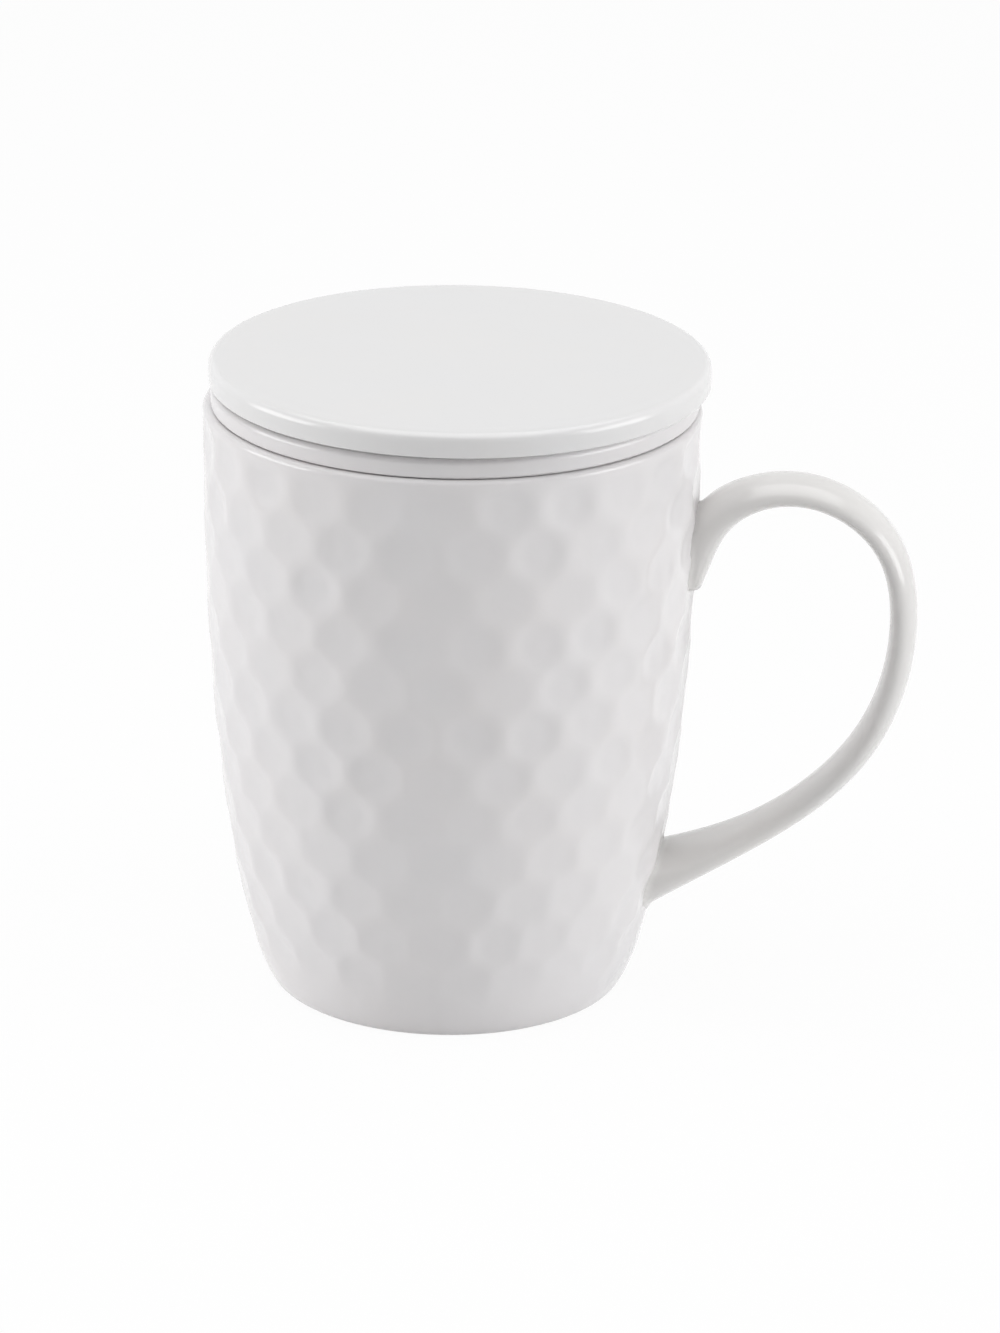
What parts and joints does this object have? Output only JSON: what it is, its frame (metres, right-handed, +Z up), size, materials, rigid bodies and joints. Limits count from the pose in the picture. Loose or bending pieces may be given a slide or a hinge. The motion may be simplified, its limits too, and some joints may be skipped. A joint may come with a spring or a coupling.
{
  "type": "lidded tea mug with infuser",
  "caption": "Tall white porcelain mug with a hammered outside, an ear handle, a lift-out pierced infuser basket hung on the rim and a flat loose lid.",
  "frame": {"origin": "centre of the mug's foot ring, on the surface that the mug stands on", "axes": "+Z up the mug's axis towards the lid, +X from the axis through the handle, +Y across the handle"},
  "size_m": [0.1239, 0.086, 0.1133],
  "materials": {
    "mug_glaze": "glossy white glaze over a hammered surface, bare fired foot ring",
    "handle_glaze": "glossy white glaze, smooth",
    "basket_glaze": "glossy white glaze, smooth, pierced",
    "lid_glaze": "white glaze, smooth and flat"
  },
  "bodies": {
    "mug": {"mug_body": "mug_glaze", "handle": "handle_glaze"},
    "infuser": {"infuser_basket": "basket_glaze"},
    "lid": {"lid": "lid_glaze"}
  },
  "joints": [
    {"name": "infuser_lift", "type": "slide", "parent": "mug", "child": "infuser", "axis": [0, 0, 1], "range_m": [0, 0.08]},
    {"name": "lid_lift", "type": "slide", "parent": "infuser", "child": "lid", "axis": [0, 0, 1], "range_m": [0, 0.05]}
  ]
}
